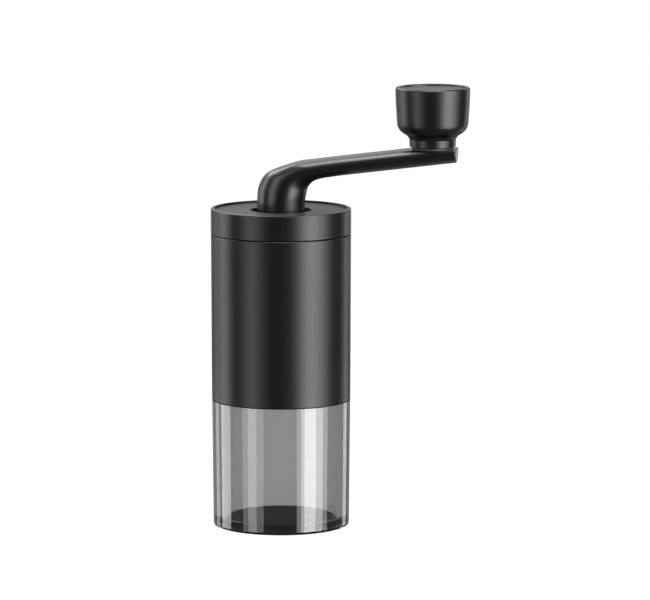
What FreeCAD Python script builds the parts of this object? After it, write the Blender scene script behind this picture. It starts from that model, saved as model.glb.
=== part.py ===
import FreeCAD, Part
import math
import os
import Sketcher
from FreeCAD import Vector, Rotation, Placement

# Hand crank coffee grinder. Millimetres, +Z up, origin at the centre of the base,
# on the axis of the body. The crank points along +X.

doc = FreeCAD.newDocument("hand_crank_coffee_grinder")
sheet = doc.addObject("Spreadsheet::Sheet", "dims")

DIMS = [
    # outside of the body, slightly tapered
    ("foot_rad", 25.2), ("jar_low_rad", 25.3), ("jar_top_rad", 25.7), ("sleeve_low_rad", 25.72),
    ("sleeve_top_rad", 26.0), ("lid_rad", 26.05),
    ("jar_tall", 47.4), ("sleeve_low", 47.6), ("sleeve_top", 109.3), ("lid_low", 109.6),
    ("lid_top", 118.9),
    # jar
    ("foot_lift", 0.3), ("jar_floor", 3.2), ("jar_low_bore", 20.9), ("jar_bore", 21.3),
    ("neck_rad", 23.2), ("neck_top", 55.4), ("oring_low", 50.6), ("oring_tall", 2.0),
    ("oring_in", 22.4), ("oring_out", 23.34), ("recess_rad", 20.7), ("recess_top", 1.4),
    ("pad_rad", 20.5), ("pad_tall", 1.4), ("dimple_ring", 22.9), ("dimple_rad", 1.15),
    ("dimple_count", 40),
    # sleeve and burr carrier
    ("sleeve_bore", 24.2), ("lip_bore", 23.5), ("lip_tall", 0.6), ("ring_groove_low", 101.0),
    ("ring_groove_tall", 1.05), ("ring_groove_rad", 24.75), ("inner_rad", 24.14),
    ("neck_bore", 23.4), ("carrier_low", 48.2), ("carrier_top", 76.0), ("seat_low", 58.0),
    ("seat_top", 71.0), ("seat_rad", 17.05), ("funnel_rad", 22.4), ("throat_rad", 15.2),
    # outer burr, retainer, screws
    ("oburr_rad", 17.0), ("oburr_in_low", 15.0), ("oburr_in_a", 14.13), ("oburr_in_b", 13.9),
    ("oburr_in_top", 14.8), ("burr_a", 60.8), ("burr_b", 62.5), ("retainer_in", 15.9),
    ("retainer_out", 21.4), ("retainer_low", 56.0), ("screw_ring", 19.4), ("screw_rad", 0.95),
    ("screw_hole", 1.0), ("screw_head", 1.9), ("screw_tip", 62.6),
    # bearings 8 x 16 x 5 and their bridges
    ("brg_in", 4.0), ("brg_out", 8.0), ("brg_wide", 5.0), ("brg_low_a", 75.5),
    ("brg_low_b", 98.0), ("race_out_in", 6.9), ("race_in_out", 5.1), ("race_depth", 0.35),
    ("race_half", 1.0), ("ball_rad", 1.19), ("ball_ring", 6.0), ("ball_count", 9),
    ("hub_rad", 10.0), ("arm_wide", 5.0), ("bridge_ring_in", 22.4), ("bridge_a_top", 80.0),
    ("bridge_b_low", 97.0), ("bridge_b_top", 101.0), ("liner_in", 23.4),
    ("snap_in", 22.9), ("snap_out", 24.7), ("snap_tall", 1.0),
    # drive shaft and its pieces
    ("shaft_low", 45.2), ("thread_rad", 2.95), ("hex_low", 55.0), ("hex_flats", 8.0),
    ("hex_top", 73.6), ("shaft_rad", 4.0), ("drive_low", 104.2), ("drive_flats", 6.5),
    ("shaft_top", 121.0), ("clip_low", 103.0), ("clip_tall", 0.8), ("clip_in", 3.4),
    ("clip_out", 6.4), ("spacer_rad", 6.0), ("washer_tall", 0.6), ("washer_rad", 6.8),
    ("washer_in", 4.75), ("coil_rad", 5.55), ("wire_rad", 0.45), ("coil_pitch", 2.2),
    # inner burr, detent plate and grind dial
    ("iburr_low", 53.6), ("iburr_skirt", 56.4), ("iburr_edge", 57.2), ("iburr_hub", 10.0),
    ("iburr_rad", 14.7), ("iburr_rad_a", 13.5), ("iburr_rad_b", 11.5), ("iburr_rad_top", 8.0),
    ("iburr_top", 70.0), ("iburr_bore", 5.0), ("counterbore", 6.4), ("counter_low", 63.0),
    ("hexbore_low", 56.0), ("hexbore_flats", 8.12), ("plate_low", 52.2), ("plate_rad", 11.0),
    ("plate_bore", 3.3), ("dial_low", 46.5), ("dial_top", 52.0), ("dial_rad", 12.0),
    ("dial_bore", 3.03), ("scallop_rad", 2.2), ("scallop_ring", 13.2), ("scallop_count", 12),
    ("detent_ring", 8.0), ("detent_hole", 1.3), ("detent_ball_rad", 1.15),
    ("detent_wire", 0.2),
    # lid
    ("spigot_low", 104.6), ("spigot_rad", 24.0), ("spigot_in", 22.6), ("gasket_low", 106.2),
    ("gasket_tall", 1.8), ("gasket_in", 23.4), ("gasket_out", 24.14), ("rim_in", 24.6),
    ("plate_seat", 117.4), ("lidplate_top", 118.2), ("lidplate_rad", 24.4),
    ("lidplate_hole", 11.3), ("lid_floor", 114.9), ("bush_in", 9.0), ("bush_rad", 11.3),
    ("bush_flange", 13.2), ("bush_low", 113.9), ("bush_top", 116.3), ("rim_round", 0.4),
    # crank
    ("column_rad", 8.9), ("column_low", 109.5), ("socket_rad", 6.5),
    ("socket_top", 121.5), ("socket_flats", 6.62), ("circlip_low", 111.9),
    ("circlip_tall", 1.0), ("circlip_in", 8.2), ("circlip_out", 10.6), ("hubwasher_out", 12.4),
    ("throw", 56.2), ("arm_end", 65.25), ("pad_top", 141.4), ("pad_start", 46.0),
    ("axle_rad", 3.0), ("axle_low", 136.8), ("axle_thread", 2.5), ("axle_head", 5.2),
    ("axle_head_low", 158.35), ("axle_washer_rad", 7.6), ("axle_washer_tall", 0.7), ("axle_head_tall", 2.6),
    # knob
    ("knob_low", 142.3), ("collar_top", 145.25), ("collar_rad", 8.6), ("collar_low_rad", 8.5),
    ("knob_bore", 4.5), ("bush_high", 157.95), ("head_bore", 6.5), ("cap_low", 162.3),
    ("cap_top", 163.7), ("cap_rad", 11.7), ("knob_rad", 13.8), ("knob_top", 164.3),
    ("knob_rim", 12.25),
]
for row, (alias, value) in enumerate(DIMS, start=1):
    sheet.set("A%d" % row, alias)
    sheet.set("B%d" % row, "%g" % value)
    sheet.setAlias("B%d" % row, alias)
doc.recompute()
VALUE = dict(DIMS)


class Q:
    """A length with its value and the expression that gives it from the sheet."""

    def __init__(self, value, text):
        self.v = float(value)
        self.e = text

    @staticmethod
    def of(x):
        return x if isinstance(x, Q) else Q(x, "%g" % x)

    def __add__(self, o):
        o = Q.of(o)
        return Q(self.v + o.v, "(%s + %s)" % (self.e, o.e))

    __radd__ = __add__

    def __sub__(self, o):
        o = Q.of(o)
        return Q(self.v - o.v, "(%s - %s)" % (self.e, o.e))

    def __rsub__(self, o):
        return Q.of(o) - self

    def __mul__(self, o):
        o = Q.of(o)
        return Q(self.v * o.v, "(%s * %s)" % (self.e, o.e))

    __rmul__ = __mul__

    def __truediv__(self, o):
        o = Q.of(o)
        return Q(self.v / o.v, "(%s / %s)" % (self.e, o.e))


class Dims:
    def __getattr__(self, name):
        return Q(VALUE[name], "dims.%s" % name)


d = Dims()
NODES = {}


def new_body(name):
    body = doc.addObject("PartDesign::Body", name)
    body.Label = name
    NODES[name] = body
    return body


def plane(body, role):
    return [f for f in body.Origin.OriginFeatures if f.Role == role][0]


def new_sketch(body, name, role, lift=None):
    sk = body.newObject("Sketcher::SketchObject", name)
    sk.AttachmentSupport = [(plane(body, role), "")]
    sk.MapMode = "FlatFace"
    if lift is not None:
        q = Q.of(lift)
        sk.AttachmentOffset = Placement(Vector(0, 0, q.v), Rotation())
        sk.setExpression("AttachmentOffset.Base.z", q.e)
    return sk


def pin(sk, geo, pos, tag, x, y):
    for axis, q in (("X", Q.of(x)), ("Y", Q.of(y))):
        if abs(q.v) < 1e-9:
            sk.addConstraint(Sketcher.Constraint(
                "PointOnObject", geo, pos, -2 if axis == "X" else -1))
            continue
        if q.v > 0:
            c = sk.addConstraint(Sketcher.Constraint("Distance" + axis, -1, 1, geo, pos, q.v))
            text = q.e
        else:
            c = sk.addConstraint(Sketcher.Constraint("Distance" + axis, geo, pos, -1, 1, -q.v))
            text = "-(%s)" % q.e
        sk.renameConstraint(c, tag + axis)
        sk.setExpression("Constraints." + tag + axis, text)


def poly(sk, pts, tag="p"):
    pts = [(Q.of(a), Q.of(b)) for a, b in pts]
    n = len(pts)
    ids = []
    for i in range(n):
        a, b = pts[i], pts[(i + 1) % n]
        ids.append(sk.addGeometry(Part.LineSegment(
            Vector(a[0].v, a[1].v, 0), Vector(b[0].v, b[1].v, 0)), False))
    for i in range(n):
        sk.addConstraint(Sketcher.Constraint("Coincident", ids[i], 2, ids[(i + 1) % n], 1))
    for i in range(n):
        pin(sk, ids[i], 1, "%s%d" % (tag, i), pts[i][0], pts[i][1])


def circle(sk, x, y, r, tag="c"):
    x, y, r = Q.of(x), Q.of(y), Q.of(r)
    g = sk.addGeometry(Part.Circle(Vector(x.v, y.v, 0), Vector(0, 0, 1), r.v), False)
    if abs(x.v) < 1e-9 and abs(y.v) < 1e-9:
        sk.addConstraint(Sketcher.Constraint("Coincident", g, 3, -1, 1))
    else:
        pin(sk, g, 3, tag, x, y)
    c = sk.addConstraint(Sketcher.Constraint("Radius", g, r.v))
    sk.renameConstraint(c, tag + "R")
    sk.setExpression("Constraints." + tag + "R", r.e)


def hexagon(sk, flats, tag="h"):
    r = Q.of(flats) * (1 / math.sqrt(3))
    pts = []
    for i in range(6):
        a = math.radians(60 * i)
        pts.append((r * round(math.cos(a), 9) if abs(math.cos(a)) > 1e-9 else 0,
                    r * round(math.sin(a), 9) if abs(math.sin(a)) > 1e-9 else 0))
    poly(sk, pts, tag)


def revolve(body, name, pts, cut=False):
    sk = new_sketch(body, name + "_profile", "XZ_Plane")
    poly(sk, pts)
    kind = "PartDesign::Groove" if cut else "PartDesign::Revolution"
    f = body.newObject(kind, name)
    f.Profile = sk
    f.ReferenceAxis = (sk, ["V_Axis"])
    f.Angle = 360
    body.Tip = f
    return f


def pad(body, name, draw, z, tall, cut=False, down=False):
    sk = new_sketch(body, name + "_sketch", "XY_Plane", z)
    draw(sk)
    f = body.newObject("PartDesign::Pocket" if cut else "PartDesign::Pad", name)
    f.Profile = sk
    q = Q.of(tall)
    f.Length = q.v
    f.setExpression("Length", q.e)
    # a pocket cuts against its sketch's normal, so it is reversed to cut upward
    f.Reversed = (not down) if cut else down
    body.Tip = f
    return f


def polar(body, name, features, count):
    f = body.newObject("PartDesign::PolarPattern", name)
    f.Originals = features
    f.Axis = (features[0].Profile[0], ["N_Axis"])
    f.Angle = 360
    q = Q.of(count)
    f.Occurrences = int(round(q.v))
    if isinstance(count, Q):
        f.setExpression("Occurrences", q.e)
    body.Tip = f
    return f


def ring(name, r_in, r_out, z0, z1):
    body = new_body(name)
    revolve(body, name + "_turned", [(r_in, z0), (r_out, z0), (r_out, z1), (r_in, z1)])
    return body


# ------------------------------------------------------------------ jar
b = new_body("jar")
revolve(b, "jar_turned", [
    (0, d.recess_top), (d.recess_rad, d.recess_top), (d.recess_rad, d.foot_lift),
    (d.foot_rad - 0.75, d.foot_lift), (d.foot_rad - 0.2, d.foot_lift + 0.25),
    (d.foot_rad + 0.05, d.foot_lift + 0.9), (d.jar_top_rad, d.jar_tall),
    (d.neck_rad, d.jar_tall), (d.neck_rad, d.oring_low), (d.oring_in, d.oring_low),
    (d.oring_in, d.oring_low + d.oring_tall), (d.neck_rad, d.oring_low + d.oring_tall),
    (d.neck_rad, d.neck_top - 0.6), (d.neck_rad - 0.4, d.neck_top), (d.jar_bore + 0.3, d.neck_top),
    (d.jar_bore, d.neck_top - 0.5), (d.jar_bore, d.jar_tall), (d.jar_low_bore, d.jar_floor + 1.1),
    (d.jar_low_bore - 0.35, d.jar_floor + 0.3), (d.jar_low_bore - 1.1, d.jar_floor),
    (0, d.jar_floor)])
sk = new_sketch(b, "dimple_sketch", "XZ_Plane")
poly(sk, [(d.dimple_ring, d.foot_lift - 0.5), (d.dimple_ring + d.dimple_rad, d.foot_lift - 0.5),
          (d.dimple_ring + d.dimple_rad, d.foot_lift), (d.dimple_ring + d.dimple_rad * 0.72,
          d.foot_lift + 0.5), (d.dimple_ring, d.foot_lift + 0.75)])
dim_axis = sk.addGeometry(Part.LineSegment(
    Vector(VALUE["dimple_ring"], -2, 0), Vector(VALUE["dimple_ring"], 3, 0)), True)
pin(sk, dim_axis, 1, "ax", d.dimple_ring, -2)
pin(sk, dim_axis, 2, "bx", d.dimple_ring, 3)
g = b.newObject("PartDesign::Groove", "dimple")
g.Profile = sk
g.ReferenceAxis = (sk, ["Axis0"])
g.Angle = 360
b.Tip = g
doc.recompute()
pp = b.newObject("PartDesign::PolarPattern", "dimples")
pp.Originals = [g]
pp.Axis = (sk, ["V_Axis"])
pp.Angle = 360
pp.Occurrences = 40
pp.setExpression("Occurrences", "dims.dimple_count")
b.Tip = pp

b = ring("jar_o_ring", d.oring_in, d.oring_out, d.oring_low + 0.05, d.oring_low + d.oring_tall - 0.05)
b = new_body("non_slip_pad")
revolve(b, "pad_turned", [(0, 0), (d.pad_rad - 0.3, 0), (d.pad_rad, 0.3), (d.pad_rad, d.pad_tall),
                          (0, d.pad_tall)])

# ------------------------------------------------------------------ grinder body
b = new_body("outer_sleeve")
revolve(b, "sleeve_turned", [
    (d.lip_bore, d.sleeve_low), (d.sleeve_low_rad - 0.15, d.sleeve_low),
    (d.sleeve_low_rad, d.sleeve_low + 0.15), (d.sleeve_top_rad, d.sleeve_top - 0.15),
    (d.sleeve_top_rad - 0.15, d.sleeve_top), (d.sleeve_bore, d.sleeve_top),
    (d.sleeve_bore, d.ring_groove_low + d.ring_groove_tall),
    (d.ring_groove_rad, d.ring_groove_low + d.ring_groove_tall),
    (d.ring_groove_rad, d.ring_groove_low), (d.sleeve_bore, d.ring_groove_low),
    (d.sleeve_bore, d.sleeve_low + d.lip_tall), (d.lip_bore, d.sleeve_low + d.lip_tall)])

b = new_body("burr_carrier")
revolve(b, "carrier_turned", [
    (d.neck_bore, d.carrier_low), (d.inner_rad, d.carrier_low), (d.inner_rad, d.carrier_top),
    (d.funnel_rad, d.carrier_top), (d.throat_rad, d.seat_top + 0.6), (d.throat_rad, d.seat_top),
    (d.seat_rad, d.seat_top), (d.seat_rad, d.seat_low), (d.neck_bore, d.seat_low)])
h = pad(b, "screw_hole_cut", lambda s: circle(s, d.screw_ring, 0, d.screw_hole), d.seat_low - 1,
        d.screw_tip - d.seat_low + 1.4, cut=True)
polar(b, "screw_holes", [h], 3)

b = new_body("outer_burr")
revolve(b, "oburr_turned", [
    (d.oburr_in_low, d.seat_low), (d.oburr_rad, d.seat_low), (d.oburr_rad, d.seat_top),
    (d.oburr_in_top, d.seat_top), (d.oburr_in_b, d.burr_b), (d.oburr_in_a, d.burr_a)])
h = pad(b, "oburr_flute_cut", lambda s: poly(s, [(d.oburr_in_b - 1, -0.55), (d.oburr_in_low + 0.1, 0),
        (d.oburr_in_b - 1, 0.55)]), d.seat_low - 1, 15, cut=True)
polar(b, "oburr_flutes", [h], 30)

b = new_body("burr_retainer")
revolve(b, "retainer_turned", [
    (d.retainer_in, d.retainer_low), (d.retainer_out, d.retainer_low),
    (d.retainer_out, d.seat_low), (d.retainer_in, d.seat_low)])
sk = new_sketch(b, "retainer_hole_sketch", "XZ_Plane")
poly(sk, [(d.screw_ring, d.retainer_low - 0.5), (d.screw_ring + d.screw_head + 0.05, d.retainer_low - 0.5),
          (d.screw_ring + d.screw_head + 0.05, d.retainer_low),
          (d.screw_ring + d.screw_hole + 0.05, d.retainer_low + 1.0),
          (d.screw_ring + d.screw_hole + 0.05, d.seat_low + 0.5), (d.screw_ring, d.seat_low + 0.5)])
ax = sk.addGeometry(Part.LineSegment(Vector(VALUE["screw_ring"], 40, 0),
                                     Vector(VALUE["screw_ring"], 70, 0)), True)
pin(sk, ax, 1, "ax", d.screw_ring, 40)
pin(sk, ax, 2, "bx", d.screw_ring, 70)
g = b.newObject("PartDesign::Groove", "retainer_hole")
g.Profile = sk
g.ReferenceAxis = (sk, ["Axis0"])
g.Angle = 360
b.Tip = g
doc.recompute()
pp = b.newObject("PartDesign::PolarPattern", "retainer_holes")
pp.Originals = [g]
pp.Axis = (sk, ["V_Axis"])
pp.Angle = 360
pp.Occurrences = 3
b.Tip = pp


def place(obj, x, y, z, rot=None):
    x, y, z = Q.of(x), Q.of(y), Q.of(z)
    obj.Placement = Placement(Vector(x.v, y.v, z.v), rot or Rotation())
    obj.setExpression("Placement.Base.x", x.e)
    obj.setExpression("Placement.Base.y", y.e)
    obj.setExpression("Placement.Base.z", z.e)
    return obj


def cyl(name, x, y, z, r, tall):
    o = doc.addObject("Part::Cylinder", name)
    r, tall = Q.of(r), Q.of(tall)
    o.Radius, o.Height = r.v, tall.v
    o.setExpression("Radius", r.e)
    o.setExpression("Height", tall.e)
    return place(o, x, y, z)


def cone(name, x, y, z, r1, r2, tall):
    o = doc.addObject("Part::Cone", name)
    for prop, q in (("Radius1", Q.of(r1)), ("Radius2", Q.of(r2)), ("Height", Q.of(tall))):
        setattr(o, prop, q.v)
        o.setExpression(prop, q.e)
    return place(o, x, y, z)


def ball(name, x, y, z, r):
    o = doc.addObject("Part::Sphere", name)
    r = Q.of(r)
    o.Radius = r.v
    o.setExpression("Radius", r.e)
    return place(o, x, y, z)


def box(name, x, y, z, lx, ly, lz):
    o = doc.addObject("Part::Box", name)
    for prop, q in (("Length", Q.of(lx)), ("Width", Q.of(ly)), ("Height", Q.of(lz))):
        setattr(o, prop, q.v)
        o.setExpression(prop, q.e)
    return place(o, x, y, z)


def group(name, members, kind="Part::Compound"):
    o = doc.addObject(kind, name)
    if kind == "Part::Compound":
        o.Links = members
    else:
        o.Shapes = members
    o.Label = name
    NODES[name] = o
    return o


def cut(name, base, tool, node=False):
    o = doc.addObject("Part::Cut", name)
    o.Base, o.Tool = base, tool
    if node:
        o.Label = name
        NODES[name] = o
    return o


screws = []
for i in range(3):
    a = math.radians(120 * i)
    x, y = d.screw_ring * round(math.cos(a), 9), d.screw_ring * round(math.sin(a), 9)
    head = cone("screw_head_%d" % i, x, y, d.retainer_low, d.screw_head, d.screw_rad, 0.95)
    shank = cyl("screw_shank_%d" % i, x, y, d.retainer_low + 0.9, d.screw_rad,
                d.screw_tip - d.retainer_low - 0.9)
    whole = doc.addObject("Part::MultiFuse", "screw_solid_%d" % i)
    whole.Shapes = [head, shank]
    drive = doc.addObject("Part::Prism", "screw_drive_%d" % i)
    drive.Polygon = 6
    drive.Circumradius = 0.75
    drive.setExpression("Circumradius", "dims.screw_head * 0.4")
    drive.Height = 0.7
    place(drive, x, y, d.retainer_low - 0.1)
    screws.append(cut("screw_%d" % i, whole, drive))
group("burr_screws", screws)


def bridge(name, ring_low, ring_top, hub_low, hub_top, seat_low, arm_low):
    body = new_body(name)
    revolve(body, name + "_ring", [
        (d.bridge_ring_in, ring_low), (d.inner_rad, ring_low), (d.inner_rad, ring_top),
        (d.bridge_ring_in, ring_top)])
    pts = [(d.brg_out - 0.8, hub_low), (d.hub_rad, hub_low), (d.hub_rad, hub_top),
           (d.brg_out, hub_top), (d.brg_out, seat_low), (d.brg_out - 0.8, seat_low)]
    first = pad(body, name + "_arm", lambda s: poly(s, [
        (d.hub_rad - 1.2, d.arm_wide / -2), (d.bridge_ring_in + 0.5, d.arm_wide / -2),
        (d.bridge_ring_in + 0.5, d.arm_wide / 2), (d.hub_rad - 1.2, d.arm_wide / 2)]),
        arm_low, ring_top - arm_low)
    doc.recompute()
    polar(body, name + "_arms", [first], 3)
    revolve(body, name + "_hub", pts)
    return body


bridge("lower_bridge", d.carrier_top, d.bridge_a_top, d.brg_low_a - 0.7,
       d.brg_low_a + d.brg_wide, d.brg_low_a, d.carrier_top + 0.6)
bridge("upper_bridge", d.bridge_b_low, d.bridge_b_top, d.brg_low_b - 0.7,
       d.brg_low_b + d.brg_wide, d.brg_low_b, d.bridge_b_low + 0.6)
ring("hopper_liner", d.liner_in, d.inner_rad, d.bridge_a_top, d.bridge_b_low)

for tag, z in (("lower", d.brg_low_a), ("upper", d.brg_low_b)):
    mid = z + d.brg_wide / 2
    b = new_body(tag + "_bearing_outer_ring")
    revolve(b, tag + "_outer_turned", [
        (d.race_out_in, z), (d.brg_out, z), (d.brg_out, z + d.brg_wide),
        (d.race_out_in, z + d.brg_wide), (d.race_out_in, mid + d.race_half),
        (d.race_out_in + d.race_depth, mid + d.race_half - 0.1),
        (d.race_out_in + d.race_depth, mid - d.race_half + 0.1),
        (d.race_out_in, mid - d.race_half)])
    b = new_body(tag + "_bearing_inner_ring")
    revolve(b, tag + "_inner_turned", [
        (d.brg_in, z), (d.race_in_out, z), (d.race_in_out, mid - d.race_half),
        (d.race_in_out - d.race_depth, mid - d.race_half + 0.1),
        (d.race_in_out - d.race_depth, mid + d.race_half - 0.1),
        (d.race_in_out, mid + d.race_half), (d.race_in_out, z + d.brg_wide),
        (d.brg_in, z + d.brg_wide)])
    balls = []
    for i in range(9):
        a = math.radians(40 * i)
        balls.append(ball("%s_ball_%d" % (tag, i), d.ball_ring * round(math.cos(a), 9),
                          d.ball_ring * round(math.sin(a), 9) if i else 0, mid, d.ball_rad))
    group(tag + "_bearing_balls", balls)

b = ring("retaining_ring", d.snap_in, d.snap_out, d.ring_groove_low,
         d.ring_groove_low + d.snap_tall)
pad(b, "snap_gap", lambda s: poly(s, [(d.snap_in - 2, -4), (d.snap_out + 2, -4),
                                      (d.snap_out + 2, 4), (d.snap_in - 2, 4)]),
    d.ring_groove_low - 1, d.snap_tall + 2, cut=True)
for side in (-1, 1):
    pad(b, "snap_ear_%d" % (side + 1), lambda s: poly(s, [
        (d.snap_in - 1.9, 4.0 * side), (d.snap_in + 0.6, 4.0 * side), (d.snap_in + 0.3, 7.5 * side),
        (d.snap_in - 2.2, 7.5 * side)]), d.ring_groove_low, d.snap_tall)
    pad(b, "snap_eye_%d" % (side + 1), lambda s: circle(s, d.snap_in - 0.9, 5.8 * side, 0.65),
        d.ring_groove_low - 1, d.snap_tall + 2, cut=True)

# ------------------------------------------------------------------ rotor
b = new_body("drive_shaft")
revolve(b, "shaft_turned", [
    (0, d.shaft_low), (d.thread_rad - 0.5, d.shaft_low), (d.thread_rad, d.shaft_low + 0.5),
    (d.thread_rad, d.hex_low + 1), (d.shaft_rad - 0.4, d.hex_low + 1), (d.shaft_rad - 0.4, d.hex_top - 1),
    (d.shaft_rad, d.hex_top - 1), (d.shaft_rad, d.clip_low), (d.clip_in, d.clip_low),
    (d.clip_in, d.clip_low + d.clip_tall), (d.shaft_rad, d.clip_low + d.clip_tall),
    (d.shaft_rad, d.drive_low), (2.9, d.drive_low), (2.9, d.shaft_top), (0, d.shaft_top)])
pad(b, "burr_hex", lambda s: hexagon(s, d.hex_flats), d.hex_low, d.hex_top - d.hex_low)
pad(b, "crank_hex", lambda s: hexagon(s, d.drive_flats), d.drive_low, d.shaft_top - d.drive_low)

ring("shaft_spacer", d.shaft_rad, d.spacer_rad, d.hex_top, d.brg_low_a)
ring("spring_washer", d.washer_in, d.washer_rad, d.hex_top - d.washer_tall, d.hex_top)
b = ring("shaft_e_clip", d.clip_in, d.clip_out, d.clip_low, d.clip_low + d.clip_tall)
pad(b, "clip_mouth", lambda s: poly(s, [(0, -2.6), (9, -2.6), (9, 2.6), (0, 2.6)]),
    d.clip_low - 1, d.clip_tall + 2, cut=True)

b = new_body("burr_spring")
sk = new_sketch(b, "wire_sketch", "XZ_Plane")
circle(sk, d.coil_rad, d.counter_low + 0.55, d.wire_rad)
hx = b.newObject("PartDesign::AdditiveHelix", "coil")
hx.Profile = sk
hx.ReferenceAxis = (sk, ["V_Axis"])
hx.Mode = 0
hx.Pitch = 2.2
hx.setExpression("Pitch", "dims.coil_pitch")
hx.Height = 8.85
hx.setExpression("Height", "dims.hex_top - dims.washer_tall - dims.counter_low - 1.1")
hx.Angle = 0
b.Tip = hx

# ------------------------------------------------------------------ inner burr set
b = new_body("inner_burr")
revolve(b, "iburr_turned", [
    (d.iburr_bore, d.iburr_low), (d.iburr_hub, d.iburr_low), (d.iburr_hub, d.iburr_skirt),
    (d.iburr_rad, d.iburr_skirt), (d.iburr_rad, d.iburr_edge), (d.iburr_rad_a, d.burr_a),
    (d.iburr_rad_b, d.burr_b), (d.iburr_rad_top, d.iburr_top), (d.counterbore, d.iburr_top),
    (d.counterbore, d.counter_low), (3.6, d.counter_low), (3.6, d.hexbore_low),
    (d.iburr_bore, d.hexbore_low)])
pad(b, "hexbore", lambda s: hexagon(s, d.hexbore_flats), d.hexbore_low - 0.5,
    d.counter_low - d.hexbore_low + 1, cut=True)
doc.recompute()


def flute(body, name, rows, count):
    """A flute cut between two V sections at different heights and angles, then patterned."""
    sks = []
    for k, (z, deg, r0, r1, half) in enumerate(rows):
        s = new_sketch(body, "%s_v%d" % (name, k), "XY_Plane", z)
        ca, sa = math.cos(math.radians(deg)), math.sin(math.radians(deg))

        def turn(r, t):
            r = Q.of(r)
            x = r * round(ca, 9) - t * sa
            y = r * round(sa, 9) + t * ca
            return x, y
        poly(s, [turn(r0, 0), turn(r1, -half), turn(r1, half)])
        sks.append(s)
    f = body.newObject("PartDesign::SubtractiveLoft", name)
    f.Profile = sks[0]
    f.Sections = sks[1:]
    f.Ruled = True
    body.Tip = f
    doc.recompute()
    pp = body.newObject("PartDesign::PolarPattern", name + "_all")
    pp.Originals = [f]
    pp.Axis = (sks[0], ["N_Axis"])
    pp.Angle = 360
    pp.Occurrences = count
    body.Tip = pp
    doc.recompute()


flute(b, "feed_flute", [
    (d.iburr_top + 0.5, 0, d.iburr_rad_top - 1.1, d.iburr_rad_top + 3, 1.9),
    (d.burr_b - 1.0, 42, d.iburr_rad_b + 0.5, d.iburr_rad_b + 4, 1.2)], 6)
flute(b, "grind_flute", [
    (d.burr_b - 0.4, 20, d.iburr_rad_b - 0.1, d.iburr_rad_b + 3, 0.9),
    (d.iburr_skirt - 0.2, 32, d.iburr_rad - 0.35, d.iburr_rad + 2, 0.8)], 30)

b = new_body("detent_plate")
revolve(b, "plate_turned", [
    (d.plate_bore, d.plate_low), (d.plate_rad - 0.3, d.plate_low), (d.plate_rad, d.plate_low + 0.3),
    (d.plate_rad, d.iburr_low), (d.plate_bore, d.iburr_low)])
h = pad(b, "click_pit", lambda s: circle(s, d.detent_ring, 0, 0.8), d.plate_low - 0.5, 1.0, cut=True)
polar(b, "click_pits", [h], 24)

b = new_body("grind_dial")
revolve(b, "dial_turned", [
    (d.dial_bore, d.dial_low), (5.0, d.dial_low), (5.5, d.dial_low + 1.6), (9.4, d.dial_low + 1.6),
    (9.8, d.dial_low), (d.dial_rad - 0.5, d.dial_low), (d.dial_rad, d.dial_low + 0.5),
    (d.dial_rad, d.dial_top - 0.5), (d.dial_rad - 0.5, d.dial_top), (d.dial_bore, d.dial_top)])
h = pad(b, "scallop", lambda s: circle(s, d.scallop_ring, 0, d.scallop_rad), d.dial_low - 1, 8, cut=True)
polar(b, "scallops", [h], 12)
pad(b, "detent_pocket", lambda s: circle(s, 0, d.detent_ring, d.detent_hole), d.dial_top + 1,
    d.dial_top - d.dial_low - 1.0, cut=True, down=True)
group("detent_ball", [ball("detent_sphere", 0, d.detent_ring, d.dial_top + 0.15 - d.detent_ball_rad,
                           d.detent_ball_rad)])
b = new_body("detent_spring")
sk = new_sketch(b, "detent_wire_sketch", "XZ_Plane")
circle(sk, 0.85, 0.2, d.detent_wire)
hx = b.newObject("PartDesign::AdditiveHelix", "detent_coil")
hx.Profile = sk
hx.ReferenceAxis = (sk, ["V_Axis"])
hx.Mode = 0
hx.Pitch = 0.62
hx.Height = 0.9
hx.Angle = 0
b.Tip = hx
b.Placement = Placement(Vector(0, VALUE["detent_ring"], VALUE["dial_low"] + 2.05), Rotation())
b.setExpression("Placement.Base.y", "dims.detent_ring")
b.setExpression("Placement.Base.z", "dims.dial_low + 2.05")

# ------------------------------------------------------------------ lid
b = new_body("lid_cap")
revolve(b, "lid_turned", [
    (d.spigot_in, d.spigot_low), (d.spigot_rad - 0.3, d.spigot_low),
    (d.spigot_rad, d.spigot_low + 0.3), (d.spigot_rad, d.gasket_low), (d.gasket_in, d.gasket_low),
    (d.gasket_in, d.gasket_low + d.gasket_tall), (d.spigot_rad, d.gasket_low + d.gasket_tall),
    (d.spigot_rad, d.lid_low), (d.lid_rad - 0.2, d.lid_low), (d.lid_rad - 0.03, d.lid_low + 0.15),
    (d.lid_rad, d.lid_top - d.rim_round), (d.lid_rad - d.rim_round * 0.3, d.lid_top - d.rim_round * 0.3),
    (d.lid_rad - d.rim_round, d.lid_top), (d.rim_in, d.lid_top), (d.rim_in, d.plate_seat),
    (d.bush_rad, d.plate_seat), (d.bush_rad, d.lid_floor), (d.spigot_in, d.lid_floor)])
ring("lid_plate", d.lidplate_hole, d.lidplate_rad, d.plate_seat, d.lidplate_top)
ring("lid_gasket", d.gasket_in, d.gasket_out, d.gasket_low + 0.05, d.gasket_low + d.gasket_tall - 0.05)
b = new_body("lid_bush")
revolve(b, "bush_turned", [
    (d.bush_in, d.bush_low), (d.bush_flange, d.bush_low), (d.bush_flange, d.lid_floor),
    (d.bush_rad, d.lid_floor), (d.bush_rad, d.bush_top), (d.bush_in, d.bush_top)])

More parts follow.
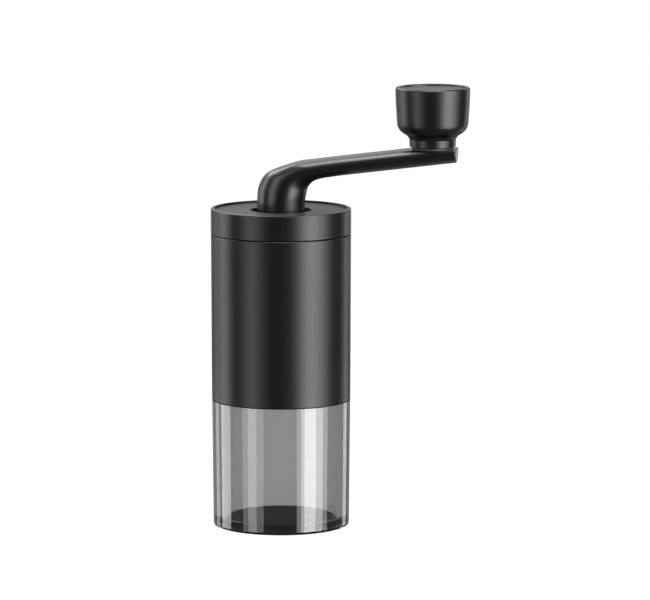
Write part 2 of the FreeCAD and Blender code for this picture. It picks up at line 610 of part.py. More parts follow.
# ------------------------------------------------------------------ crank
# Each section of the arm runs from a point on its outer or top line to one on its inner or
# lower line; the last column is its half width.
ARM = [
    (-8.85, 109.5, 8.85, 109.5, 8.85),
    (-8.85, 114.5, 8.85, 114.5, 8.85),
    (-8.85, 118.6, 8.87, 118.6, 8.87),
    (-8.84, 121.8, 8.98, 121.8, 8.90),
    (-8.30, 126.9, 9.90, 126.3, 8.88),
    (-5.90, 131.3, 10.9, 127.9, 8.80),
    (-2.00, 133.6, 12.45, 129.2, 8.60),
    (4.80, 135.75, 15.1, 130.12, 8.35),
    (12.0, 136.8, 18.6, 130.72, 8.10),
    (22.0, 138.13, 23.4, 131.42, 7.90),
    (38.9, 140.2, 40.2, 133.48, 7.75),
    (70.0, 143.95, 71.2, 137.25, 7.60),
]


def between(rows, k, u):
    """A point of the smooth curve through the rows, a fraction u past row k."""
    p = [rows[max(0, min(len(rows) - 1, k + j))] for j in (-1, 0, 1, 2)]
    return [0.5 * (2 * b1 + (c - a) * u + (2 * a - 5 * b1 + 4 * c - e) * u * u
                   + (3 * b1 - a - 3 * c + e) * u ** 3)
            for a, b1, c, e in zip(*p)]


# the rows are spread evenly along the arm, so that the surface through them stays fair
fine = [between(ARM, k, j / 40) for k in range(len(ARM) - 1) for j in range(40)] + [list(ARM[-1])]
run = [0.0]
for p, q in zip(fine, fine[1:]):
    run.append(run[-1] + math.hypot(q[0] + q[2] - p[0] - p[2], q[1] + q[3] - p[1] - p[3]) / 2)
COUNT = 34
rows = []
for j in range(COUNT):
    want = run[-1] * j / (COUNT - 1)
    k = max(i for i in range(len(run)) if run[i] <= want + 1e-9)
    k = min(k, len(fine) - 2)
    u = (want - run[k]) / (run[k + 1] - run[k])
    rows.append([p + (q - p) * u for p, q in zip(fine[k], fine[k + 1])])
for k, (x0, z0, x1, z1, half) in enumerate(rows):
    for word, value in (("topx", x0), ("topz", z0), ("lowx", x1), ("lowz", z1), ("half", half)):
        alias = "arm%02d_%s" % (k, word)
        row = len(VALUE) + 1
        sheet.set("A%d" % row, alias)
        sheet.set("B%d" % row, "%.4f" % value)
        sheet.setAlias("B%d" % row, alias)
        VALUE[alias] = round(value, 4)
doc.recompute()
grid = []
for k in range(len(rows)):
    size = {w: float(sheet.get("arm%02d_%s" % (k, w)))
            for w in ("topx", "topz", "lowx", "lowz", "half")}
    top = Vector(size["topx"], 0, size["topz"])
    low = Vector(size["lowx"], 0, size["lowz"])
    mid, reach = (top + low) * 0.5, (top - low) * 0.5
    # round at the column; along the arm, rounded sides and underside under a nearly flat top
    # that meets them in a soft crease
    thick = reach.Length
    up = reach * (1 / thick)
    lean = math.degrees(math.atan2(up.z, -up.x)) if up.x < 0 else 90.0
    t = min(1.0, max(0.0, (lean - 4.0) / 32.0))
    arm = t * t * (3 - 2 * t)
    full, power = thick * (1 + 0.30 * arm), 2 + 0.5 * arm
    crown = thick * 0.5 * (1 - arm) + 0.05 * arm
    line = []
    for j in range(29):
        a = math.pi * j / 28
        u = math.sin(a)
        if j <= 14:
            side_line = full * max(0.0, 1 - u ** power) ** (1 / power)
            crown_line = thick - crown * u * u
            gap = max(0.12 + 0.35 * arm - abs(side_line - crown_line), 0.0)
            v = min(side_line, crown_line) - gap * gap / (0.12 + 0.35 * arm) * 0.25
            if arm < 0.001:
                v = thick * math.cos(a)
        else:
            v = thick * math.cos(a)
        if abs(u) < 1e-9:
            u = 0.0
        line.append((mid + up * v, u * size["half"]))
    grid.append(line)
halves = []
for side in (1, -1):
    face = Part.BSplineSurface()
    face.interpolate([[Vector(p.x, side * out, p.z) for p, out in line] for line in grid])
    halves.append(face.toShape())


def cap_of(index):
    """The flat face that closes the arm at its first or last section."""
    p = grid[index][0][0]
    found = []
    for h in halves:
        for e in h.Edges:
            ends = [v.Point for v in e.Vertexes]
            if len(ends) == 2 and all(abs(q.y) < 1e-6 for q in ends) and any(
                    q.distanceToPoint(p) < 1e-6 for q in ends) and abs(e.CenterOfMass.y) > 1:
                found.append(e)
    return Part.Face(Part.Wire(Part.__sortEdges__(found)))


shell = Part.Shell([f for h in halves for f in h.Faces] + [cap_of(0), cap_of(-1)])
shell.sewShape()
if shell.ShapeType != "Shell":
    shell = shell.Shells[0]
solid = Part.Solid(shell)
if solid.Volume < 0:
    solid.reverse()
loft = doc.addObject("Part::Feature", "arm_loft")
loft.Shape = solid
end_cut = box("arm_end_cut", d.arm_end, -20, 120, 20, 40, 40)
pad_cut = box("arm_pad_cut", d.pad_start, -20, d.pad_top, 40, 40, 20)
socket_hole = cyl("socket_hole", 0, 0, d.column_low - 1, d.socket_rad,
                  d.socket_top - d.column_low + 1)
axle_hole = cyl("axle_hole", d.throw, 0, d.axle_low, d.axle_thread, 10)
groove_out = cyl("clip_groove_out", 0, 0, d.circlip_low, d.column_rad + 2, d.circlip_tall)
groove_core = cyl("clip_groove_core", 0, 0, d.circlip_low - 1, d.circlip_in, d.circlip_tall + 2)
clip_groove = cut("clip_groove", groove_out, groove_core)
arm_a = cut("arm_trimmed", loft, end_cut)
arm_b = cut("arm_flat", arm_a, pad_cut)
arm_c = cut("arm_bored", arm_b, socket_hole)
arm_d = cut("arm_grooved", arm_c, clip_groove)
cut("crank_arm", arm_d, axle_hole, node=True)

b = ring("hub_socket", 2.6, d.socket_rad, d.column_low + 0.1, d.socket_top - 0.3)
pad(b, "socket_hex", lambda s: hexagon(s, d.socket_flats), d.column_low - 1, 20, cut=True)
ring("hub_washer", d.column_rad + 0.05, d.hubwasher_out, d.circlip_low + d.circlip_tall,
     d.bush_low - 0.1)
b = ring("hub_circlip", d.circlip_in, d.circlip_out, d.circlip_low, d.circlip_low + d.circlip_tall)
pad(b, "circlip_mouth", lambda s: poly(s, [(4, -2), (13, -2), (13, 2), (4, 2)]),
    d.circlip_low - 1, d.circlip_tall + 2, cut=True)


def at_throw(body):
    body.Placement = Placement(Vector(VALUE["throw"], 0, 0), Rotation())
    body.setExpression("Placement.Base.x", "dims.throw")
    return body


b = at_throw(new_body("knob_axle"))
revolve(b, "axle_turned", [
    (0, d.axle_low + 0.2), (d.axle_thread - 0.4, d.axle_low + 0.2), (d.axle_thread, d.axle_low + 0.6),
    (d.axle_thread, d.pad_top), (d.axle_rad, d.pad_top), (d.axle_rad, d.axle_head_low),
    (d.axle_head, d.axle_head_low), (d.axle_head, d.axle_head_low + d.axle_head_tall - 0.4),
    (d.axle_head - 0.4, d.axle_head_low + d.axle_head_tall), (0, d.axle_head_low + d.axle_head_tall)])
pad(b, "axle_key", lambda s: hexagon(s, 4.0), d.axle_head_low + d.axle_head_tall + 0.5, 2.2,
    cut=True, down=True)

# ------------------------------------------------------------------ knob
KNOB = [(145.35, 8.66), (145.75, 8.86), (146.4, 9.36), (147.1, 10.46), (147.85, 11.5), (148.6, 12.22),
        (149.4, 12.66), (150.15, 12.96), (150.9, 13.12), (152.35, 13.23), (155.35, 13.40),
        (158.35, 13.59), (161.25, 13.73), (162.65, 13.75)]
b = at_throw(new_body("axle_washer"))
revolve(b, "axle_washer_turned", [
    (d.axle_rad + 0.05, d.pad_top), (d.axle_washer_rad, d.pad_top),
    (d.axle_washer_rad, d.pad_top + d.axle_washer_tall),
    (d.axle_rad + 0.05, d.pad_top + d.axle_washer_tall)])

b = at_throw(new_body("knob"))
sk = new_sketch(b, "knob_profile", "XZ_Plane")
outer = KNOB
start = (d.collar_rad - 0.1, d.collar_top)
low = [(d.knob_bore, d.collar_top), start]
wall = []
for z, r in outer:
    wall.append((d.knob_rad - round(13.75 - r, 3), d.knob_top - round(164.3 - z, 3)))
top = [(d.knob_rad - 0.02, d.knob_top - 0.62), (d.knob_rad - 0.16, d.knob_top - 0.3),
       (d.knob_rad - 0.4, d.knob_top - 0.08), (d.knob_rad - 0.75, d.knob_top),
       (d.cap_rad + 0.25, d.knob_top - 0.15), (d.cap_rad + 0.05, d.cap_top - 0.1),
       (d.cap_rad + 0.05, d.cap_low), (d.head_bore, d.cap_low), (d.head_bore, d.bush_high),
       (d.knob_bore, d.bush_high)]
poly(sk, low + wall + top)
f = b.newObject("PartDesign::Revolution", "knob_turned")
f.Profile = sk
f.ReferenceAxis = (sk, ["V_Axis"])
f.Angle = 360
b.Tip = f

b = at_throw(new_body("knob_collar"))
revolve(b, "collar_turned", [
    (d.knob_bore, d.knob_low), (d.collar_low_rad - 0.15, d.knob_low),
    (d.collar_low_rad, d.knob_low + 0.15), (d.collar_rad, d.collar_top - 0.15),
    (d.collar_rad - 0.15, d.collar_top), (d.knob_bore, d.collar_top)])
b = at_throw(new_body("knob_cap"))
revolve(b, "cap_turned", [
    (0, d.cap_low), (d.cap_rad, d.cap_low), (d.cap_rad, d.cap_top - 0.12),
    (d.cap_rad - 0.12, d.cap_top), (0, d.cap_top)])
b = at_throw(new_body("knob_bush"))
revolve(b, "knob_bush_turned", [
    (d.axle_rad + 0.06, d.knob_low - 0.15), (d.knob_bore, d.knob_low - 0.15),
    (d.knob_bore, d.bush_high), (d.axle_rad + 0.06, d.bush_high)])
b = at_throw(new_body("knob_washer"))
revolve(b, "knob_washer_turned", [
    (d.axle_rad + 0.1, d.bush_high), (d.axle_head + 0.6, d.bush_high),
    (d.axle_head + 0.6, d.axle_head_low - 0.08), (d.axle_rad + 0.1, d.axle_head_low - 0.08)])

# ------------------------------------------------------------------ check and write
doc.recompute()
bad = ["%s %s" % (o.Name, o.State) for o in doc.Objects
       if "Invalid" in o.State or "Error" in o.State]
if bad:
    raise RuntimeError("failed objects: " + "; ".join(bad))
os.makedirs("parts", exist_ok=True)
for name, obj in NODES.items():
    shape = obj.Shape
    if shape.isNull() or not shape.isValid() or not shape.Solids:
        raise RuntimeError("bad shape: " + name)
for old in os.listdir("parts"):
    if old.endswith(".step") and old[:-5] not in NODES:
        os.remove(os.path.join("parts", old))
for name, obj in NODES.items():
    obj.Shape.exportStep("parts/%s.step" % name)
    bb = obj.Shape.BoundBox
    print("%-28s solids %2d vol %10.2f  x %.2f %.2f y %.2f %.2f z %.2f %.2f" % (
        name, len(obj.Shape.Solids), obj.Shape.Volume, bb.XMin, bb.XMax, bb.YMin, bb.YMax,
        bb.ZMin, bb.ZMax))
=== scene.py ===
import math

import bmesh
import bpy
from mathutils import Matrix, Vector


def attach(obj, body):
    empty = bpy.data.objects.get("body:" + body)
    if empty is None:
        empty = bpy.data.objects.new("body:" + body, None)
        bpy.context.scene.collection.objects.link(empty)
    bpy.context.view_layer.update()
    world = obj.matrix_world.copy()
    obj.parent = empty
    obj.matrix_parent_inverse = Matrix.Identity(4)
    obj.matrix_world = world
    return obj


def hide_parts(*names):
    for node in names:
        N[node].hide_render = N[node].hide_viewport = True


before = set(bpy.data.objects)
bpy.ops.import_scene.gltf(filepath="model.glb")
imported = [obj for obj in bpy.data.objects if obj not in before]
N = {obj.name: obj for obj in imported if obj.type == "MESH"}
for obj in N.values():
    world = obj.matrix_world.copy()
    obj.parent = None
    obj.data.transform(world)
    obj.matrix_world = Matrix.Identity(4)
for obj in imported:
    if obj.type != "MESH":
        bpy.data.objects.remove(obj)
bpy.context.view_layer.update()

MM = 0.001


# ------------------------------------------------------------------ camera
def make_camera():
    turn = math.radians(5.5)
    pitch = math.radians(7.98)
    dist, side, high = 1800.7, 16.3, 336.9
    cam = bpy.data.cameras.new("camera")
    cam.sensor_width = 36.0
    cam.sensor_fit = "HORIZONTAL"
    cam.lens = 4900.0 * 36.0 / 650.0
    cam.clip_start = 0.05
    cam.clip_end = 20.0
    ob = bpy.data.objects.new("camera", cam)
    bpy.context.scene.collection.objects.link(ob)
    right = Vector((math.cos(turn), math.sin(turn), 0))
    ahead = Vector((-math.sin(turn), math.cos(turn), 0))
    place = right * side - ahead * dist + Vector((0, 0, high))
    ob.location = place * MM
    look = ahead * math.cos(pitch) + Vector((0, 0, -math.sin(pitch)))
    ob.rotation_euler = look.to_track_quat("-Z", "Y").to_euler()
    bpy.context.scene.camera = ob
    return ob


camera = make_camera()
TURN = math.radians(5.5)


# ------------------------------------------------------------------ materials
def new_mat(name):
    m = bpy.data.materials.new(name)
    m.use_nodes = True
    nt = m.node_tree
    for n in list(nt.nodes):
        nt.nodes.remove(n)
    out = nt.nodes.new("ShaderNodeOutputMaterial")
    bs = nt.nodes.new("ShaderNodeBsdfPrincipled")
    nt.links.new(bs.outputs[0], out.inputs["Surface"])
    return m, nt, bs


def node(nt, kind, **vals):
    n = nt.nodes.new(kind)
    for k, v in vals.items():
        if hasattr(n, k):
            setattr(n, k, v)
        else:
            n.inputs[k.replace("_", " ")].default_value = v
    return n


def coat(name, base, rough, metallic=0.0, grain=9000.0, grain_bump=0.08, rough_var=0.06,
         tone_var=0.25, wear=0.0, wear_tone=(0.25, 0.25, 0.25), spec=0.5, coat_w=0.0, coat_r=0.2,
         brushed=None, scratch=0.0, bump_dist=0.00002):
    """A finish with fine grain in its bump, cloudy roughness and tone, and edges rubbed by use."""
    m, nt, bs = new_mat(name)
    co = nt.nodes.new("ShaderNodeTexCoord")
    mp = nt.nodes.new("ShaderNodeMapping")
    nt.links.new(co.outputs["Object"], mp.inputs["Vector"])
    src = mp.outputs[0]
    if brushed:
        mp.inputs["Scale"].default_value = brushed
    fine = node(nt, "ShaderNodeTexNoise", Scale=grain, Detail=3.0, Roughness=0.6)
    nt.links.new(src, fine.inputs["Vector"])
    cloud = node(nt, "ShaderNodeTexNoise", Scale=60.0, Detail=4.0, Roughness=0.55)
    nt.links.new(co.outputs["Object"], cloud.inputs["Vector"])
    # tone
    ramp = nt.nodes.new("ShaderNodeMix")
    ramp.data_type = "RGBA"
    lo = [c * (1 - tone_var) for c in base]
    hi = [min(1, c * (1 + tone_var)) for c in base]
    ramp.inputs["A"].default_value = (*lo, 1)
    ramp.inputs["B"].default_value = (*hi, 1)
    nt.links.new(cloud.outputs["Fac"], ramp.inputs["Factor"])
    tone = ramp.outputs["Result"]
    rough_src = nt.nodes.new("ShaderNodeMapRange")
    rough_src.inputs["To Min"].default_value = max(0.02, rough - rough_var)
    rough_src.inputs["To Max"].default_value = min(1, rough + rough_var)
    mixn = nt.nodes.new("ShaderNodeMath")
    mixn.operation = "ADD"
    half = nt.nodes.new("ShaderNodeMath")
    half.operation = "MULTIPLY"
    half.inputs[1].default_value = 0.5
    nt.links.new(fine.outputs["Fac"], half.inputs[0])
    half2 = nt.nodes.new("ShaderNodeMath")
    half2.operation = "MULTIPLY"
    half2.inputs[1].default_value = 0.5
    nt.links.new(cloud.outputs["Fac"], half2.inputs[0])
    nt.links.new(half.outputs[0], mixn.inputs[0])
    nt.links.new(half2.outputs[0], mixn.inputs[1])
    nt.links.new(mixn.outputs[0], rough_src.inputs["Value"])
    rough_out = rough_src.outputs[0]
    if wear:
        geo = nt.nodes.new("ShaderNodeNewGeometry")
        edge = nt.nodes.new("ShaderNodeMapRange")
        edge.inputs["From Min"].default_value = 0.52
        edge.inputs["From Max"].default_value = 0.62
        edge.inputs["To Max"].default_value = wear
        nt.links.new(geo.outputs["Pointiness"], edge.inputs["Value"])
        wm = nt.nodes.new("ShaderNodeMix")
        wm.data_type = "RGBA"
        wm.inputs["B"].default_value = (*wear_tone, 1)
        nt.links.new(tone, wm.inputs["A"])
        nt.links.new(edge.outputs[0], wm.inputs["Factor"])
        tone = wm.outputs["Result"]
    nt.links.new(tone, bs.inputs["Base Color"])
    nt.links.new(rough_out, bs.inputs["Roughness"])
    bs.inputs["Metallic"].default_value = metallic
    bs.inputs["Specular IOR Level"].default_value = spec
    bs.inputs["Coat Weight"].default_value = coat_w
    bs.inputs["Coat Roughness"].default_value = coat_r
    height = fine.outputs["Fac"]
    if scratch:
        sm = nt.nodes.new("ShaderNodeMapping")
        sm.inputs["Scale"].default_value = (1, 1, 60)
        nt.links.new(co.outputs["Object"], sm.inputs["Vector"])
        sn = node(nt, "ShaderNodeTexNoise", Scale=120.0, Detail=6.0, Roughness=0.7)
        nt.links.new(sm.outputs[0], sn.inputs["Vector"])
        add = nt.nodes.new("ShaderNodeMath")
        add.operation = "MULTIPLY_ADD"
        add.inputs[1].default_value = scratch
        nt.links.new(sn.outputs["Fac"], add.inputs[0])
        nt.links.new(height, add.inputs[2])
        height = add.outputs[0]
    bump = nt.nodes.new("ShaderNodeBump")
    bump.inputs["Strength"].default_value = grain_bump
    bump.inputs["Distance"].default_value = bump_dist
    nt.links.new(height, bump.inputs["Height"])
    nt.links.new(bump.outputs[0], bs.inputs["Normal"])
    return m


MAT = {}
MAT["sleeve"] = coat("satin_black_anodised", (0.0022, 0.0022, 0.0023), 0.33, grain=14000, grain_bump=0.10,
                     rough_var=0.03, tone_var=0.10, spec=0.23, wear=0.03, wear_tone=(0.02, 0.02, 0.02))
MAT["lid"] = coat("satin_black_lid", (0.0022, 0.0022, 0.0023), 0.32, grain=14000, grain_bump=0.10,
                  rough_var=0.03, tone_var=0.10, spec=0.23, wear=0.06, wear_tone=(0.04, 0.04, 0.04))
MAT["plate"] = coat("lid_plate_satin", (0.006, 0.006, 0.0062), 0.42, grain=16000, grain_bump=0.14,
                    rough_var=0.05, tone_var=0.12, spec=0.30)
MAT["crank"] = coat("crank_powder_black", (0.0018, 0.0018, 0.0019), 0.30, grain=9000, grain_bump=0.10,
                    rough_var=0.04, tone_var=0.12, spec=0.34, wear=0.25, wear_tone=(0.05, 0.05, 0.05))
MAT["knob"] = coat("knob_satin_black", (0.0020, 0.0020, 0.0021), 0.33, grain=12000, grain_bump=0.10,
                   rough_var=0.04, tone_var=0.12, spec=0.24, wear=0.2, wear_tone=(0.05, 0.05, 0.05))
MAT["cap"] = coat("knob_cap_satin", (0.006, 0.006, 0.0062), 0.40, grain=16000, grain_bump=0.14,
                  rough_var=0.05, tone_var=0.10, spec=0.5)
MAT["rubber"] = coat("silicone_black", (0.012, 0.012, 0.012), 0.62, grain=5000, grain_bump=0.2,
                     rough_var=0.08, tone_var=0.3, spec=0.4)
MAT["nylon"] = coat("glass_filled_nylon", (0.028, 0.028, 0.029), 0.55, grain=4200, grain_bump=0.35,
                    rough_var=0.1, tone_var=0.3, spec=0.45)
MAT["burr"] = coat("machined_burr_steel", (0.50, 0.49, 0.47), 0.30, metallic=1.0, grain=5000,
                   grain_bump=0.25, rough_var=0.1, tone_var=0.15, brushed=(1, 1, 14), wear=0.4,
                   wear_tone=(0.75, 0.74, 0.72))
MAT["steel"] = coat("turned_stainless", (0.58, 0.57, 0.55), 0.26, metallic=1.0, grain=2500,
                    grain_bump=0.2, rough_var=0.08, tone_var=0.1, brushed=(1, 1, 30), wear=0.3,
                    wear_tone=(0.8, 0.8, 0.78))
MAT["bearing"] = coat("ground_bearing_steel", (0.66, 0.66, 0.65), 0.12, metallic=1.0, grain=6000,
                      grain_bump=0.05, rough_var=0.05, tone_var=0.06, brushed=(1, 1, 20))
MAT["spring"] = coat("oiled_spring_steel", (0.30, 0.29, 0.27), 0.24, metallic=1.0, grain=7000,
                     grain_bump=0.12, rough_var=0.08, tone_var=0.2)


def smoky(name):
    """Clear tinted copolyester: the tint is in its depth, so thick walls read darker."""
    m, nt, bs = new_mat(name)
    bs.inputs["Base Color"].default_value = (0.93, 0.93, 0.93, 1)
    bs.inputs["Transmission Weight"].default_value = 1.0
    bs.inputs["IOR"].default_value = 1.53
    bs.inputs["Roughness"].default_value = 0.02
    co = nt.nodes.new("ShaderNodeTexCoord")
    wav = node(nt, "ShaderNodeTexNoise", Scale=45.0, Detail=2.0)
    nt.links.new(co.outputs["Object"], wav.inputs["Vector"])
    fine = node(nt, "ShaderNodeTexNoise", Scale=900.0, Detail=5.0, Roughness=0.7)
    nt.links.new(co.outputs["Object"], fine.inputs["Vector"])
    mr = nt.nodes.new("ShaderNodeMapRange")
    mr.inputs["From Min"].default_value = 0.45
    mr.inputs["From Max"].default_value = 0.75
    mr.inputs["To Min"].default_value = 0.012
    mr.inputs["To Max"].default_value = 0.07
    nt.links.new(fine.outputs["Fac"], mr.inputs["Value"])
    # the inner floor is moulded rough and lies on the black pad, so it reads dark
    cut = nt.nodes.new("ShaderNodeSeparateXYZ")
    nt.links.new(co.outputs["Object"], cut.inputs[0])
    flat = nt.nodes.new("ShaderNodeCombineXYZ")
    nt.links.new(cut.outputs["X"], flat.inputs["X"])
    nt.links.new(cut.outputs["Y"], flat.inputs["Y"])
    far = nt.nodes.new("ShaderNodeVectorMath")
    far.operation = "LENGTH"
    nt.links.new(flat.outputs[0], far.inputs[0])
    inside = node(nt, "ShaderNodeMath", operation="LESS_THAN")
    inside.inputs[1].default_value = 0.0206
    nt.links.new(far.outputs["Value"], inside.inputs[0])
    low = node(nt, "ShaderNodeMath", operation="LESS_THAN")
    low.inputs[1].default_value = 0.0036
    nt.links.new(cut.outputs["Z"], low.inputs[0])
    disc = node(nt, "ShaderNodeMath", operation="MULTIPLY")
    nt.links.new(inside.outputs[0], disc.inputs[0])
    nt.links.new(low.outputs[0], disc.inputs[1])
    shade = nt.nodes.new("ShaderNodeMix")
    shade.data_type = "RGBA"
    shade.inputs["A"].default_value = (0.93, 0.93, 0.93, 1)
    shade.inputs["B"].default_value = (0.003, 0.003, 0.003, 1)
    nt.links.new(disc.outputs[0], shade.inputs["Factor"])
    nt.links.new(shade.outputs["Result"], bs.inputs["Base Color"])
    rough = node(nt, "ShaderNodeMath", operation="MULTIPLY_ADD")
    rough.inputs[1].default_value = 0.45
    nt.links.new(disc.outputs[0], rough.inputs[0])
    nt.links.new(mr.outputs[0], rough.inputs[2])
    nt.links.new(rough.outputs[0], bs.inputs["Roughness"])
    clear = node(nt, "ShaderNodeMath", operation="SUBTRACT")
    clear.inputs[0].default_value = 1.0
    nt.links.new(disc.outputs[0], clear.inputs[1])
    nt.links.new(clear.outputs[0], bs.inputs["Transmission Weight"])
    dull = node(nt, "ShaderNodeMath", operation="MULTIPLY")
    dull.inputs[1].default_value = 0.5
    nt.links.new(clear.outputs[0], dull.inputs[0])
    nt.links.new(dull.outputs[0], bs.inputs["Specular IOR Level"])
    bump = nt.nodes.new("ShaderNodeBump")
    bump.inputs["Strength"].default_value = 0.04
    bump.inputs["Distance"].default_value = 0.0002
    nt.links.new(wav.outputs["Fac"], bump.inputs["Height"])
    nt.links.new(bump.outputs[0], bs.inputs["Normal"])
    vol = nt.nodes.new("ShaderNodeVolumeAbsorption")
    vol.inputs["Color"].default_value = (0.62, 0.62, 0.62, 1)
    vol.inputs["Density"].default_value = 372.0
    out = [n for n in nt.nodes if n.type == "OUTPUT_MATERIAL"][0]
    nt.links.new(vol.outputs[0], out.inputs["Volume"])
    return m


MAT["jar"] = smoky("smoky_clear_jar")

USE = {
    "jar": "jar", "jar_o_ring": "rubber", "non_slip_pad": "rubber", "lid_gasket": "rubber",
    "outer_sleeve": "sleeve", "lid_cap": "lid", "lid_plate": "plate", "crank_arm": "crank",
    "knob": "knob", "knob_collar": "knob", "knob_cap": "cap",
    "burr_carrier": "nylon", "hopper_liner": "nylon", "lower_bridge": "nylon",
    # axle_washer takes the black rubber finish so that it fills the gap under the knob collar; this is painted shade,
    # a dark piece standing in for the shadow in that gap.
    "upper_bridge": "nylon", "axle_washer": "rubber", "lid_bush": "nylon", "grind_dial": "nylon", "knob_bush": "nylon",
    "outer_burr": "burr", "inner_burr": "burr", "burr_retainer": "steel", "burr_screws": "steel",
    "drive_shaft": "steel", "shaft_spacer": "steel", "hub_socket": "steel", "knob_axle": "steel",
    "detent_plate": "steel", "lower_bearing_outer_ring": "bearing",
    "lower_bearing_inner_ring": "bearing", "lower_bearing_balls": "bearing",
    "upper_bearing_outer_ring": "bearing", "upper_bearing_inner_ring": "bearing",
    "upper_bearing_balls": "bearing", "detent_ball": "bearing", "retaining_ring": "spring",
    "spring_washer": "spring", "shaft_e_clip": "spring", "burr_spring": "spring",
    "detent_spring": "spring", "hub_washer": "spring", "hub_circlip": "spring",
    "knob_washer": "spring",
}
for name, ob in N.items():
    m = MAT[USE[name]]
    if not ob.material_slots:
        ob.data.materials.append(m)
    for s in ob.material_slots:
        s.material = m


# ------------------------------------------------------------------ crank arm
# Rows along the arm: a point on its outer or top line, a point on its inner or lower line, and
# its half width, in millimetres.
ARM = [
    (-8.85, 109.5, 8.85, 109.5, 8.85),
    (-8.85, 114.5, 8.85, 114.5, 8.85),
    (-8.85, 118.6, 8.87, 118.6, 8.87),
    (-8.84, 121.8, 8.98, 121.8, 8.90),
    (-8.30, 126.9, 9.90, 126.3, 8.88),
    (-5.90, 131.3, 10.9, 127.9, 8.80),
    (-2.00, 133.6, 12.45, 129.2, 8.60),
    (4.80, 135.75, 15.1, 130.12, 8.35),
    (12.0, 136.8, 18.6, 130.72, 8.10),
    (22.0, 138.13, 23.4, 131.42, 7.90),
    (38.9, 140.2, 40.2, 133.48, 7.75),
    (70.0, 143.95, 71.2, 137.25, 7.60),
]
END = 65.25
PAD = 141.4


def between(rows, k, u):
    p = [rows[max(0, min(len(rows) - 1, k + j))] for j in (-1, 0, 1, 2)]
    return [0.5 * (2 * b + (c - a) * u + (2 * a - 5 * b + 4 * c - e) * u * u
                   + (3 * b - a - 3 * c + e) * u ** 3)
            for a, b, c, e in zip(*p)]


def spread(rows, count):
    """Rows evenly spaced along the middle line of the arm."""
    fine = [between(rows, k, j / 40) for k in range(len(rows) - 1) for j in range(40)]
    fine.append(list(rows[-1]))
    run = [0.0]
    for p, q in zip(fine, fine[1:]):
        run.append(run[-1] + math.hypot(q[0] + q[2] - p[0] - p[2], q[1] + q[3] - p[1] - p[3]) / 2)
    out, k = [], 0
    for j in range(count):
        want = run[-1] * j / (count - 1)
        while k < len(fine) - 2 and run[k + 1] < want:
            k += 1
        u = (want - run[k]) / (run[k + 1] - run[k])
        out.append([p + (q - p) * u for p, q in zip(fine[k], fine[k + 1])])
    return out


def smin(a, b, k):
    """The lower of two heights, with the corner between them rounded over about k."""
    h = max(k - abs(a - b), 0.0) / k
    return min(a, b) - h * h * k * 0.25


def step(x, lo, hi):
    t = min(1.0, max(0.0, (x - lo) / (hi - lo)))
    return t * t * (3 - 2 * t)


def arm_ring(row, half_count, inset=0.0):
    """One section: a rounded underside and sides, under a nearly flat top that meets them in a
    soft crease. Round on the column."""
    x0, z0, x1, z1, half = row
    top, low = Vector((x0, 0, z0)), Vector((x1, 0, z1))
    centre = (top + low) * 0.5
    thick = (top - low).length * 0.5
    up = (top - low).normalized()
    lean = math.degrees(math.atan2(up.z, -up.x)) if up.x < 0 else 90.0
    arm = step(lean, 4.0, 36.0)
    full, power = thick * (1 + 0.30 * arm), 2 + 0.5 * arm
    crown = thick * 0.5 * (1 - arm) + 0.05 * arm
    ring = []
    for j in range(half_count + 1):
        a = math.pi * (j / half_count - 0.5)
        u = math.sin(a)
        if arm > 0.001:
            side_line = full * max(0.0, 1 - abs(u) ** power) ** (1 / power)
            v = smin(side_line, thick - crown * u * u, 0.10 + 0.30 * arm)
        else:
            v = thick * math.cos(a)
        ring.append((u, v))
    for j in range(1, half_count):
        a = math.pi * (0.5 - j / half_count)
        ring.append((math.sin(a), -thick * math.cos(a)))
    pts = []
    for u, v in ring:
        y = u * (half - inset)
        p = centre + up * (v - math.copysign(min(abs(v), inset), v))
        z = p.z
        if p.x > 40:
            z = smin(z, PAD - (inset * 0.9 if inset else 0.0), 0.35)
        pts.append(Vector((p.x, y, z)))
    return pts


